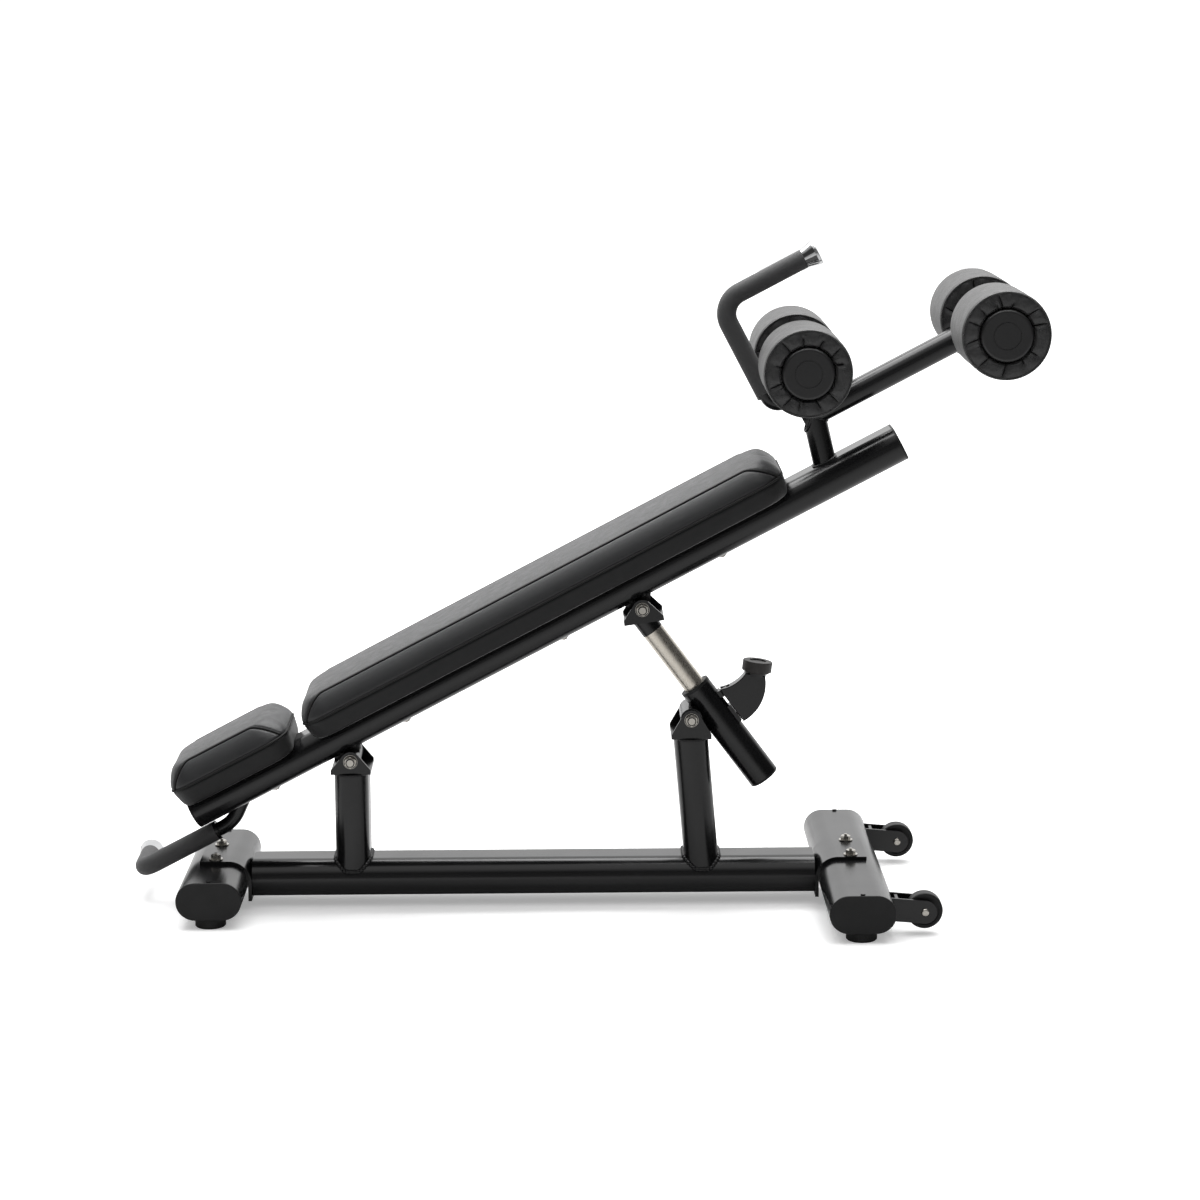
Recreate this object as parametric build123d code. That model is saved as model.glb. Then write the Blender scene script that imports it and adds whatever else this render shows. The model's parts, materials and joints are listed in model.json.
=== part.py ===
from build123d import *
import os
from math import cos, radians, sin

# Decline sit-up bench: a long sloping beam with two pads on a low H-shaped base,
# held up by a telescopic strut.  Millimetres, +Z up, +X towards the leg rollers,
# origin on the floor under the middle of the bench.

# ---------------------------------------------------------------- driving sizes
BEAM_SLOPE = 27.57                   # rise of the main beam towards the rollers, degrees
PIVOT_X, PIVOT_Z = -394.3, 262.7     # axis that the main beam tilts on
STRUT_PIN_X, STRUT_PIN_Z = 200.8, 332.6   # lower pin of the strut
STRUT_SLOPE = 53.4                   # strut axis below the horizontal, degrees
STRUT_REACH = 575.2                  # along the beam, tilt axis to upper strut pin

TUBE_THICK, TUBE_WIDE, TUBE_WALL = 60.0, 110.0, 3.0    # flat-oval tube of main beam and posts
CROSS_THICK, CROSS_WIDE = 66.0, 113.0                  # flat-oval tube of the whole base
BASE_AXIS_Z = 50.0
HEAD_BAR_X, HEAD_BAR_HALF = -633.0, 186.2
WHEEL_BAR_X, WHEEL_BAR_HALF = 480.0, 299.0
CAP_THICK = 3.0

FOOT_RADIUS, FOOT_EDGE = 26.5, 3.5
SADDLE_THICK, SADDLE_HALF, SADDLE_REACH = 6.0, 65.0, 27.0
SADDLE_BOLT_Y = 50.0

POST_X = PIVOT_X
POST_SHOE = 15.0                     # the posts' feet end this far above the beam's axis
STRUT_POST_TOP_X, STRUT_POST_LEAN = 200.2, 4.87
EAR_SPAN, EAR_THICK, EAR_BASE, EAR_TOP_R = 100.0, 5.0, 70.0, 17.0
PIVOT_PIN_DROP, STRUT_PIN_DROP, UPPER_PIN_DROP = 23.3, 34.5, 24.0
UPPER_CLEVIS_TILT = 8.3

BOLT_R = 6.0                         # M12 pivot bolts
WASHER_R, WASHER_THICK = 12.3, 2.0
NUT_FLATS, NUT_THICK = 18.0, 9.0
BOSS_R, BOSS_HALF = 17.0, 44.0
STRUT_BOSS_R = 15.0
STRUT_BOSS_BORE = 10.2               # open pivot: the bolt has room to drift here
BUSH_R = 9.0
RUNNING = 0.05                       # radial clearance of the turning fits

BEAM_LOW, BEAM_HIGH = -286.0, 1099.0            # beam ends, along the beam
BEAM_UNDER = 15.5                               # underside above the tilt axis
BEAM_TOP = BEAM_UNDER + TUBE_THICK

BOARD_THICK, BOARD_INSET = 12.0, 24.0
BACK_LOW, BACK_HIGH = -34.0, 900.0
HEAD_LOW, HEAD_HIGH = -295.0, -66.0
PAD_TOP = 142.0                                 # height of both pads over the tilt axis
PAD_SEAM = 103.0                                # widest line of the pads
PAD_FOOT = 66.0                                 # lower edge of the pads' skirts
PAD_GAP = 0.4

ROLLER_R = 75.0
KNEE_ALONG, KNEE_UP, KNEE_NEAR, KNEE_FAR = 1013.9, 252.2, 57.4, 223.8
ANKLE_ALONG, ANKLE_UP, ANKLE_NEAR, ANKLE_FAR = 1331.6, 157.5, 69.1, 241.8
AXLE_R, AXLE_WALL = 12.5, 2.5
HUB_R, HUB_WALL_R = 16.5, 43.5

LEG_THICK, LEG_WIDE, LEG_WALL = 40.0, 54.0, 2.5    # oval tube of upright and leg tube
LEG_START, LEG_END = 972.0, 1356.0
UPRIGHT_LEAN = 13.0                                # from the vertical
UPRIGHT_FOOT_X, UPRIGHT_FOOT_Z = 438.8, 752.7      # a point on its axis, inside the beam

HANDLE_R, HANDLE_WALL, GRIP_R = 12.5, 2.0, 16.9
HANDLE_RISER, HANDLE_REACH, HANDLE_TOP = 936.0, 1116.0, 403.0
CARRY_AXIS, CARRY_CORNER, CARRY_REACH = -6.8, -424.5, 118.0

STRUT_OUT_R, STRUT_OUT_WALL, STRUT_OFFSET = 27.5, 2.5, 36.4
STRUT_OUT_TOP, STRUT_OUT_LOW = 32.0, -166.0
STRUT_IN_R, STRUT_IN_WALL = 19.2, 2.5
STRUT_IN_LOW, STRUT_IN_TOP = -85.0, 160.0
COLLAR_R, COLLAR_SPIGOT = 19.6, 16.0
LOCK_Z, LOCK_R = -50.0, 5.0                     # brake plunger that grips the inner tube
LEVER_HALF, LUG_HALF = 14.0, 6.0
LEVER_PIN = (38.0, -2.0)
KNOB_R, KNOB_HIGH, KNOB_TILT, NECK_R = 26.0, 19.0, 44.0, 17.5
NECK_HIGH = 8.5

WHEEL_R, WHEEL_HALF, WHEEL_AXLE_R = 31.0, 12.5, 4.0
WHEEL_X, WHEEL_Z, WHEEL_Y = 589.3, 41.9, 235.3
FORK_HALF, FORK_PLATE = 19.0, 4.0

PARTS = {}


# --------------------------------------------------------------------- helpers
def keep(name, *solids):
    """Files one node: a single solid, or a group of separate ones."""
    flat = [s for item in solids for s in item.solids()]
    PARTS[name] = flat[0] if len(flat) == 1 else Compound(children=flat)


def place(x, z, slope):
    """Frame at (x, 0, z) whose local +X rises by slope degrees towards +X."""
    rise = radians(slope)
    return Plane((x, 0, z), x_dir=(cos(rise), 0, sin(rise)), z_dir=(-sin(rise), 0, cos(rise)))


def rod(radius, start, end):
    """Round bar from one point to another."""
    a, b = Vector(*start), Vector(*end)
    return extrude(Plane(a, z_dir=b - a) * Circle(radius), (b - a).length)


def pipe(radius, bore, start, end):
    """Round tube from one point to another."""
    a, b = Vector(*start), Vector(*end)
    ring = Circle(radius) - Circle(bore)
    return extrude(Plane(a, z_dir=b - a) * ring, (b - a).length)


def oval_bar(plane, wide, thick, length):
    return extrude(plane * SlotOverall(wide, thick), length)


def oval_tube(plane, wide, thick, wall, length):
    ring = SlotOverall(wide, thick) - SlotOverall(wide - 2 * wall, thick - 2 * wall)
    return extrude(plane * ring, length)


def slab(points, half, middle=0.0):
    """Plate of an XZ outline, reaching half to each side of Y = middle."""
    plane = Plane((0, middle, 0), x_dir=(1, 0, 0), z_dir=(0, -1, 0))
    return extrude(plane * make_face(Polyline(*points, close=True)), half, both=True)


def hexagon(centre, axis, flats, thick):
    return extrude(Plane(centre, z_dir=axis) * RegularPolygon(flats / 2, 6, major_radius=False), thick)


def washer(centre, axis, bore, radius=WASHER_R, thick=WASHER_THICK):
    return extrude(Plane(centre, z_dir=axis) * (Circle(radius) - Circle(bore)), thick)


STRUT_LEAN = radians(STRUT_SLOPE)
STRUT_UP = (-cos(STRUT_LEAN), 0, sin(STRUT_LEAN))
STRUT_SIDE = (sin(STRUT_LEAN), 0, cos(STRUT_LEAN))
BEAM = place(PIVOT_X, PIVOT_Z, BEAM_SLOPE)
BEAM_AT = BEAM.location


def on_beam(solid):
    """Moves a solid from beam coordinates (along, across, up) to the bench."""
    return BEAM_AT * solid


# --------------------------------------------------------------- base of the H
def crossbar(x, half):
    plane = Plane((x, -half + CAP_THICK, BASE_AXIS_Z), x_dir=(1, 0, 0), z_dir=(0, 1, 0))
    tube = oval_tube(plane, CROSS_WIDE, CROSS_THICK, TUBE_WALL, 2 * (half - CAP_THICK))
    for y in (-SADDLE_BOLT_Y, SADDLE_BOLT_Y):
        tube -= rod(5.0, (x, y, BASE_AXIS_Z), (x, y, BASE_AXIS_Z + CROSS_THICK))
    return tube


def end_cap(x, y, side):
    """Moulded cap: a plate over the tube end and a spigot inside it."""
    outer = Plane((x, y, BASE_AXIS_Z), x_dir=(1, 0, 0), z_dir=(0, -side, 0))
    plate = oval_bar(outer, CROSS_WIDE, CROSS_THICK, CAP_THICK)
    inner = outer.offset(CAP_THICK)
    inside = 2 * (TUBE_WALL + 0.3)
    spigot = oval_tube(inner, CROSS_WIDE - inside, CROSS_THICK - inside, 2.5, 14)
    return chamfer(plate.edges().sort_by(Axis.Y)[::-side][:2], 0.8) + spigot


def saddle_bracket(x, side):
    """Bent plate that hooks over a crossbar and meets the end of the base beam."""
    plane = Plane((x, 0, BASE_AXIS_Z), x_dir=(1, 0, 0), z_dir=(0, -1, 0))
    skin = SlotOverall(CROSS_WIDE + 2 * SADDLE_THICK, CROSS_THICK + 2 * SADDLE_THICK)
    core = SlotOverall(CROSS_WIDE, CROSS_THICK)
    ring = extrude(plane * (skin - core), SADDLE_HALF, both=True)
    reach = CROSS_WIDE / 2 + SADDLE_REACH + SADDLE_THICK
    middle = x + side * (reach / 2 - SADDLE_REACH)
    above = Box(reach, 2 * SADDLE_HALF, CROSS_THICK)
    bent = ring & (Location((middle, 0, BASE_AXIS_Z + CROSS_THICK / 2)) * above)
    nose = x + side * (CROSS_WIDE / 2 + SADDLE_THICK / 2)
    drop = CROSS_THICK / 2
    flange = Box(SADDLE_THICK, 2 * SADDLE_HALF, drop)
    plate = bent + Location((nose, 0, BASE_AXIS_Z - drop / 2)) * flange
    for y in (-SADDLE_BOLT_Y, SADDLE_BOLT_Y):
        plate -= rod(5.4, (x, y, BASE_AXIS_Z), (x, y, BASE_AXIS_Z + CROSS_THICK))
    return plate


def saddle_bolt(x, y):
    """Hexagon bolt through the saddle plate into the crossbar."""
    seat = BASE_AXIS_Z + CROSS_THICK / 2 + SADDLE_THICK + WASHER_THICK
    head = hexagon((x, y, seat), (0, 0, 1), 15, 7)
    stud = rod(2.6, (x, y, seat + 7), (x, y, seat + 10))
    return head + stud + rod(4.9, (x, y, seat - 24), (x, y, seat))


def rubber_foot(x, y):
    top = BASE_AXIS_Z - CROSS_THICK / 2
    foot = extrude(Plane((x, y, 0)) * Circle(FOOT_RADIUS), top)
    return chamfer(foot.edges().sort_by(Axis.Z)[0], 2)


def cap_screw(x, y):
    top = BASE_AXIS_Z + CROSS_THICK / 2
    return rod(4.0, (x, y, top), (x, y, top + 2.2)) + rod(1.9, (x, y, top - 7), (x, y, top))


def build_base():
    bars = ((HEAD_BAR_X, HEAD_BAR_HALF, 1), (WHEEL_BAR_X, WHEEL_BAR_HALF, -1))
    caps, screws, feet, bolts, brackets = [], [], [], [], []
    for x, half, side in bars:
        for end in (-1, 1):
            caps.append(end_cap(x, end * half, end))
            screws.append(cap_screw(x, end * (half - 9)))
            feet.append(rubber_foot(x, end * (half - FOOT_RADIUS - FOOT_EDGE)))
            bolts.append(saddle_bolt(x, end * SADDLE_BOLT_Y))
        brackets.append(saddle_bracket(x, side))
    head_bar = crossbar(HEAD_BAR_X, HEAD_BAR_HALF)
    wheel_bar = crossbar(WHEEL_BAR_X, WHEEL_BAR_HALF)
    for screw in screws:
        head_bar -= screw
        wheel_bar -= screw
    keep("head_crossbar", head_bar)
    keep("wheel_crossbar", wheel_bar)
    keep("crossbar_end_caps", *[cap - screw for cap, screw in zip(caps, screws)])
    keep("cap_screws", *screws)
    keep("rubber_feet", *feet)
    keep("saddle_bolts", *bolts)
    keep("saddle_brackets", *brackets)

    start = HEAD_BAR_X + CROSS_WIDE / 2 + SADDLE_THICK
    end = WHEEL_BAR_X - CROSS_WIDE / 2 - SADDLE_THICK
    along = Plane((start, 0, BASE_AXIS_Z), x_dir=(0, 1, 0), z_dir=(1, 0, 0))
    keep("base_beam", oval_tube(along, CROSS_WIDE, CROSS_THICK, TUBE_WALL, end - start))
    solid_beam = oval_bar(along, CROSS_WIDE, CROSS_THICK, end - start)

    upright = Plane((POST_X, 0, BASE_AXIS_Z), x_dir=(0, 1, 0), z_dir=(0, 0, 1))
    height = PIVOT_Z - PIVOT_PIN_DROP - BASE_AXIS_Z
    post = oval_tube(upright, TUBE_WIDE, TUBE_THICK, TUBE_WALL, height)
    shoe = Location((0, 0, BASE_AXIS_Z + POST_SHOE - 100)) * Box(3000, 300, 200)
    keep("pivot_post", post - solid_beam - shoe)

    top_z = STRUT_PIN_Z - STRUT_PIN_DROP
    lean = radians(STRUT_POST_LEAN)
    axis = (-sin(lean), 0, cos(lean))
    foot_x = STRUT_POST_TOP_X + (top_z - BASE_AXIS_Z) * sin(lean) / cos(lean)
    leaning = Plane((foot_x, 0, BASE_AXIS_Z), x_dir=(0, 1, 0), z_dir=axis)
    tall_length = (top_z - BASE_AXIS_Z) / cos(lean) + 20
    tall = oval_tube(leaning, TUBE_WIDE, TUBE_THICK, TUBE_WALL, tall_length)
    trim = Location((STRUT_POST_TOP_X, 0, top_z + 100)) * Box(300, 300, 200)
    keep("strut_post", tall - solid_beam - trim - shoe)


# -------------------------------------------------------- clevises and fasteners
def clevis(pin_drop):
    """U-bracket around the origin's pin, its base below; ears at both sides."""
    half, top = EAR_BASE / 2, EAR_TOP_R
    side = -pin_drop + 8
    ear = make_face(
        Polyline((-half, -pin_drop), (half, -pin_drop), (half, side), (top * 0.77, top * 0.64))
        + ThreePointArc((top * 0.77, top * 0.64), (0, top), (-top * 0.77, top * 0.64))
        + Polyline((-top * 0.77, top * 0.64), (-half, side), (-half, -pin_drop))
    )
    span = extrude(Plane((0, 0, 0), x_dir=(1, 0, 0), z_dir=(0, -1, 0)) * ear, EAR_SPAN / 2, both=True)
    inner = EAR_SPAN - 2 * EAR_THICK
    gap = Location((0, 0, -pin_drop + EAR_THICK + 50)) * Box(200, inner, 100)
    bracket = span - gap
    return bracket - rod(BOLT_R + RUNNING, (0, -EAR_SPAN, 0), (0, EAR_SPAN, 0))


def pivot_bolt():
    """M12 bolt along Y through both ears: head at the far side."""
    reach = EAR_SPAN / 2 + WASHER_THICK
    head = hexagon((0, reach, 0), (0, 1, 0), NUT_FLATS, 7.5)
    return head + rod(BOLT_R, (0, -reach - NUT_THICK - 1.0, 0), (0, reach, 0))


def pivot_nut():
    """Lock nut with a rounded collar, at the near side."""
    face = -EAR_SPAN / 2 - WASHER_THICK
    body = hexagon((0, face, 0), (0, -1, 0), NUT_FLATS, NUT_THICK - 3)
    collar = extrude(Plane((0, face - NUT_THICK + 3, 0), z_dir=(0, -1, 0)) * Circle(8.2), 3)
    return body + collar - rod(BOLT_R, (0, -EAR_SPAN, 0), (0, 0, 0))


def pivot_washers():
    face = EAR_SPAN / 2
    return [
        washer((0, -face, 0), (0, -1, 0), BOLT_R + 0.2),
        washer((0, face, 0), (0, 1, 0), BOLT_R + 0.2),
    ]


def build_base_pivots():
    pivot_at = Location((PIVOT_X, 0, PIVOT_Z))
    strut_at = Location((STRUT_PIN_X, 0, STRUT_PIN_Z))
    keep("pivot_clevis", pivot_at * clevis(PIVOT_PIN_DROP))
    lift = 60 * STRUT_UP[0], 60 * STRUT_UP[2]
    axis_x = STRUT_PIN_X + STRUT_OFFSET * STRUT_SIDE[0]
    axis_z = STRUT_PIN_Z + STRUT_OFFSET * STRUT_SIDE[2]
    passage = rod(
        STRUT_OUT_R + 2.5,
        (axis_x + lift[0], 0, axis_z + lift[1]),
        (axis_x - 2 * lift[0], 0, axis_z - 2 * lift[1]),
    )
    keep("strut_clevis", strut_at * clevis(STRUT_PIN_DROP) - passage)
    keep("pivot_bolts", pivot_at * pivot_bolt(), strut_at * pivot_bolt())
    keep("pivot_nuts", pivot_at * pivot_nut(), strut_at * pivot_nut())
    washers = [at * ring for at in (pivot_at, strut_at) for ring in pivot_washers()]
    seat = BASE_AXIS_Z + CROSS_THICK / 2 + SADDLE_THICK
    for x in (HEAD_BAR_X, WHEEL_BAR_X):
        for y in (-SADDLE_BOLT_Y, SADDLE_BOLT_Y):
            washers.append(washer((x, y, seat), (0, 0, 1), 5.2))
    keep("washers", *washers)


# ------------------------------------------------------------- transport wheels
def wheel_fork(side):
    """Two straps from the crossbar's outer face to the axle."""
    nose = WHEEL_BAR_X + CROSS_WIDE / 2
    strap_r = 20.0
    droop = radians(4.3)
    root = (nose - 14, WHEEL_Z + (WHEEL_X - nose + 14) * sin(droop) + 1)
    straps = []
    for y in (side * (WHEEL_Y - FORK_HALF), side * (WHEEL_Y + FORK_HALF)):
        plane = Plane((0, y, 0), x_dir=(1, 0, 0), z_dir=(0, -1, 0))
        dx, dz = WHEEL_X - root[0], WHEEL_Z - root[1]
        long = (dx * dx + dz * dz) ** 0.5
        nx, nz = -dz / long * strap_r, dx / long * strap_r
        outline = make_face(
            Line((root[0] - nx, root[1] - nz), (WHEEL_X - nx, WHEEL_Z - nz))
            + ThreePointArc(
                (WHEEL_X - nx, WHEEL_Z - nz),
                (WHEEL_X + strap_r * dx / long, WHEEL_Z + strap_r * dz / long),
                (WHEEL_X + nx, WHEEL_Z + nz),
            )
            + Line((WHEEL_X + nx, WHEEL_Z + nz), (root[0] + nx, root[1] + nz))
            + Line((root[0] + nx, root[1] + nz), (root[0] - nx, root[1] - nz))
        )
        straps.append(extrude(plane * outline, FORK_PLATE / 2, both=True))
    web_x = nose + 5
    web = Location((web_x, side * WHEEL_Y, root[1])) * Box(5, 2 * FORK_HALF, 34)
    fork = straps[0] + straps[1] + web
    bar = Plane((WHEEL_BAR_X, -400, BASE_AXIS_Z), x_dir=(1, 0, 0), z_dir=(0, 1, 0))
    fork -= oval_bar(bar, CROSS_WIDE, CROSS_THICK, 800)
    fork -= rod(WHEEL_AXLE_R, (WHEEL_X, side * 100, WHEEL_Z), (WHEEL_X, side * 400, WHEEL_Z))
    return fork


def wheel_axle(side):
    """Domed rivet through both straps."""
    reach = FORK_HALF + FORK_PLATE / 2
    low, high = side * (WHEEL_Y - reach), side * (WHEEL_Y + reach)
    axle = rod(WHEEL_AXLE_R, (WHEEL_X, low, WHEEL_Z), (WHEEL_X, high, WHEEL_Z))
    for at, out in ((high, side), (low, -side)):
        head = rod(6.6, (WHEEL_X, at, WHEEL_Z), (WHEEL_X, at + out * 3.5, WHEEL_Z))
        rim = head.edges().filter_by(GeomType.CIRCLE).sort_by(Axis.Y)[-1 if out > 0 else 0]
        axle += fillet(rim, 2.6)
    return axle


def transport_wheel(side):
    """Solid wheel with a rounded tread and recessed faces."""
    middle = side * WHEEL_Y
    low, high = middle - WHEEL_HALF, middle + WHEEL_HALF
    wheel = rod(WHEEL_R, (WHEEL_X, low, WHEEL_Z), (WHEEL_X, high, WHEEL_Z))
    wheel = fillet(wheel.edges(), 3.0)
    for face in (-1, 1):
        start = (WHEEL_X, middle + face * WHEEL_HALF, WHEEL_Z)
        end = (WHEEL_X, middle + face * (WHEEL_HALF - 2.5), WHEEL_Z)
        wheel -= pipe(WHEEL_R - 6, 11, end, start)
    hub = rod(11, (WHEEL_X, low - 3.5, WHEEL_Z), (WHEEL_X, high + 3.5, WHEEL_Z))
    bore = rod(WHEEL_AXLE_R + RUNNING, (WHEEL_X, low - 18, WHEEL_Z), (WHEEL_X, high + 18, WHEEL_Z))
    return wheel + hub - bore


def build_wheels():
    keep("wheel_forks", wheel_fork(-1), wheel_fork(1))
    keep("wheel_axles", wheel_axle(-1), wheel_axle(1))
    keep("transport_wheel_near", transport_wheel(-1))
    keep("transport_wheel_far", transport_wheel(1))


# -------------------------------------------------------------------- the bench
def beam_boss(along, radius, bore):
    """Cross sleeve with two webs that are welded to the underside of the beam."""
    boss = rod(radius, (along, -BOSS_HALF, 0), (along, BOSS_HALF, 0))
    top = [(along - 26, BEAM_UNDER), (along + 26, BEAM_UNDER)]
    foot = [(along + 12, -6), (along - 12, -6)]
    for y in (-16, 16):
        boss += slab(top + foot, 4, y)
    plane = Plane((along - 60, 0, BEAM_UNDER + TUBE_THICK / 2), x_dir=(0, 1, 0), z_dir=(1, 0, 0))
    boss -= oval_bar(plane, TUBE_WIDE, TUBE_THICK, 120)
    return boss - rod(bore, (along, -60, 0), (along, 60, 0))


def beam_cap(along, side):
    middle = BEAM_UNDER + TUBE_THICK / 2
    plane = Plane((along, 0, middle), x_dir=(0, 1, 0), z_dir=(side, 0, 0))
    cap = oval_bar(plane, TUBE_WIDE, TUBE_THICK, 4)
    cap = fillet(cap.edges().group_by(Axis.X)[-1 if side > 0 else 0], 1.2)
    inside = 2 * (TUBE_WALL + 0.3)
    back = Plane((along, 0, middle), x_dir=(0, 1, 0), z_dir=(-side, 0, 0))
    return cap + oval_tube(back, TUBE_WIDE - inside, TUBE_THICK - inside, 2.5, 14)


def pad_outline(low, high, half_low, half_mid, half_high, corner):
    """Plan shape of a pad: straight ends, slightly bowed sides, rounded corners."""
    middle = (low + high) / 2
    face = make_face(
        Line((low, -half_low), (low, half_low))
        + ThreePointArc((low, half_low), (middle, half_mid), (high, half_high))
        + Line((high, half_high), (high, -half_high))
        + ThreePointArc((high, -half_high), (middle, -half_mid), (low, -half_low))
    )
    return fillet(face.vertices(), corner)


def pad_block(low, high, half_low, half_mid, half_high, corner):
    """Upholstered block: seams at the top edge and at the widest line."""
    inset, tuck = 24.0, 10.0
    rim = pad_outline(low, high, half_low, half_mid, half_high, corner)
    top = offset(rim, -inset)
    foot = offset(rim, -tuck)
    upper = loft([Pos(0, 0, PAD_SEAM) * rim, Pos(0, 0, PAD_TOP) * top])
    lower = loft([Pos(0, 0, PAD_FOOT) * foot, Pos(0, 0, PAD_SEAM) * rim])
    board_top = BEAM_TOP + BOARD_THICK + PAD_GAP
    hollow = offset(rim, -BOARD_INSET + PAD_GAP)
    recess = extrude(Pos(0, 0, PAD_FOOT - 5) * hollow, board_top - PAD_FOOT + 5)
    notch_top = BEAM_TOP + PAD_GAP
    notch = Location(((low + high) / 2, 0, notch_top - 20)) * Box(2 * (high - low), TUBE_WIDE + 1, 40)
    return upper + lower - recess - notch


def pad_board(low, high, half_low, half_mid, half_high, corner):
    rim = pad_outline(low, high, half_low, half_mid, half_high, corner)
    return extrude(Pos(0, 0, BEAM_TOP + PAD_GAP / 2) * offset(rim, -BOARD_INSET), BOARD_THICK - PAD_GAP / 2)


PAD_BOLTS = (-145.0, 116.0, 429.0, 741.0)


def pad_bolt(along):
    """Long bolt up through the beam into a pad's board, nut under the beam."""
    screw = rod(4, (along, 0, BEAM_UNDER - 7.5), (along, 0, BEAM_TOP + BOARD_THICK - 3))
    nut = hexagon((along, 0, BEAM_UNDER - 5.5), (0, 0, 1), 13, 5.5)
    return screw + nut


def build_beam():
    middle = BEAM_UNDER + TUBE_THICK / 2
    plane = Plane((BEAM_LOW, 0, middle), x_dir=(0, 1, 0), z_dir=(1, 0, 0))
    beam = oval_tube(plane, TUBE_WIDE, TUBE_THICK, TUBE_WALL, BEAM_HIGH - BEAM_LOW)
    for along in PAD_BOLTS:
        beam -= rod(4.3, (along, 0, BEAM_UNDER - 5), (along, 0, BEAM_TOP + 5))
    keep("main_beam", on_beam(beam))
    keep("beam_end_caps", on_beam(beam_cap(BEAM_LOW, -1)), on_beam(beam_cap(BEAM_HIGH, 1)))

    pivot_boss = beam_boss(0, BOSS_R, BUSH_R)
    strut_boss = beam_boss(STRUT_REACH, STRUT_BOSS_R, STRUT_BOSS_BORE)
    keep("beam_bosses", on_beam(pivot_boss), on_beam(strut_boss))
    bushes = []
    for side in (-1, 1):
        inner, outer = side * 20, side * BOSS_HALF
        sleeve = pipe(BUSH_R, BOLT_R + RUNNING, (0, inner, 0), (0, outer, 0))
        flange = pipe(BOSS_R - 2, BOLT_R + RUNNING, (0, outer, 0), (0, outer + side * 0.8, 0))
        bushes.append(on_beam(sleeve + flange))
    keep("pivot_bushes", *bushes)
    keep("pad_bolts", *[on_beam(pad_bolt(along)) for along in PAD_BOLTS])


BACK_PLAN = (BACK_LOW, BACK_HIGH, 122.0, 127.0, 124.0, 44.0)
HEAD_PLAN = (HEAD_LOW, HEAD_HIGH, 102.0, 105.0, 107.0, 40.0)


def build_pads():
    for name, plan in (("back_pad", BACK_PLAN), ("head_pad", HEAD_PLAN)):
        block = pad_block(*plan)
        board = pad_board(*plan)
        for along in PAD_BOLTS:
            if plan[0] < along < plan[1]:
                board -= rod(4, (along, 0, 0), (along, 0, PAD_TOP))
        keep(name, on_beam(block))
        keep(name + "_board", on_beam(board))


# ---------------------------------------------------- upright, leg tube, rollers
def build_leg_frame():
    long = LEG_END - LEG_START
    along = Plane((LEG_START, 0, ANKLE_UP), x_dir=(0, 1, 0), z_dir=(1, 0, 0))
    leg = oval_tube(along, LEG_WIDE, LEG_THICK, LEG_WALL, long)
    leg += oval_bar(along, LEG_WIDE, LEG_THICK, LEG_WALL)
    leg += oval_bar(along.offset(long - LEG_WALL), LEG_WIDE, LEG_THICK, LEG_WALL)
    leg_solid = oval_bar(along, LEG_WIDE, LEG_THICK, long)
    riser_at = Plane((KNEE_ALONG, 0, ANKLE_UP), x_dir=(0, 1, 0), z_dir=(0, 0, 1))
    riser_high = KNEE_UP - ANKLE_UP + 22
    riser = oval_tube(riser_at, LEG_WIDE - 0.4, LEG_THICK, LEG_WALL, riser_high)
    riser += oval_bar(riser_at.offset(riser_high - 2.5), LEG_WIDE - 0.4, LEG_THICK, 2.5)
    riser -= leg_solid
    ankle_hole = rod(AXLE_R, (ANKLE_ALONG, -80, ANKLE_UP), (ANKLE_ALONG, 80, ANKLE_UP))
    knee_hole = rod(AXLE_R, (KNEE_ALONG, -80, KNEE_UP), (KNEE_ALONG, 80, KNEE_UP))
    keep("leg_tube", on_beam(leg - ankle_hole))
    keep("knee_riser", on_beam(riser - knee_hole))

    lean = radians(UPRIGHT_LEAN)
    axis = (-sin(lean), 0, cos(lean))
    start = Plane((UPRIGHT_FOOT_X, 0, UPRIGHT_FOOT_Z), x_dir=(0, 1, 0), z_dir=axis)
    upright = oval_tube(start, LEG_WIDE - 0.4, LEG_THICK, LEG_WALL, 160)
    beam_middle = BEAM_UNDER + TUBE_THICK / 2
    beam_plane = Plane((BEAM_LOW, 0, beam_middle), x_dir=(0, 1, 0), z_dir=(1, 0, 0))
    upright -= on_beam(oval_bar(beam_plane, TUBE_WIDE, TUBE_THICK, BEAM_HIGH - BEAM_LOW))
    upright -= on_beam(Location((500, 0, ANKLE_UP + 80)) * Box(3000, 300, 160))
    leg_line = Plane((0, 0, ANKLE_UP), x_dir=(0, 1, 0), z_dir=(1, 0, 0))
    upright -= on_beam(oval_bar(leg_line, LEG_WIDE, LEG_THICK, 1400))
    below = Location((0, 0, -200)) * Box(4000, 400, 400 + 2 * BEAM_UNDER)
    upright -= on_beam(below)
    keep("upright", *[s for s in upright.solids() if s.volume > 5000])


def roller_pad(along, up, near, far, side):
    """Padded roll with rounded rims, its ends dished around the hub discs."""
    roll = rod(ROLLER_R, (along, side * near, up), (along, side * far, up))
    roll = fillet(roll.edges(), 7)
    dish = 9.0
    for face, into in ((near, 1), (far, -1)):
        start = (along, side * face, up)
        end = (along, side * (face + into * dish), up)
        roll -= rod(HUB_WALL_R + 4, start, end)
    return roll - rod(HUB_R + 0.2, (along, side * (near - 5), up), (along, side * (far + 5), up))


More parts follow.
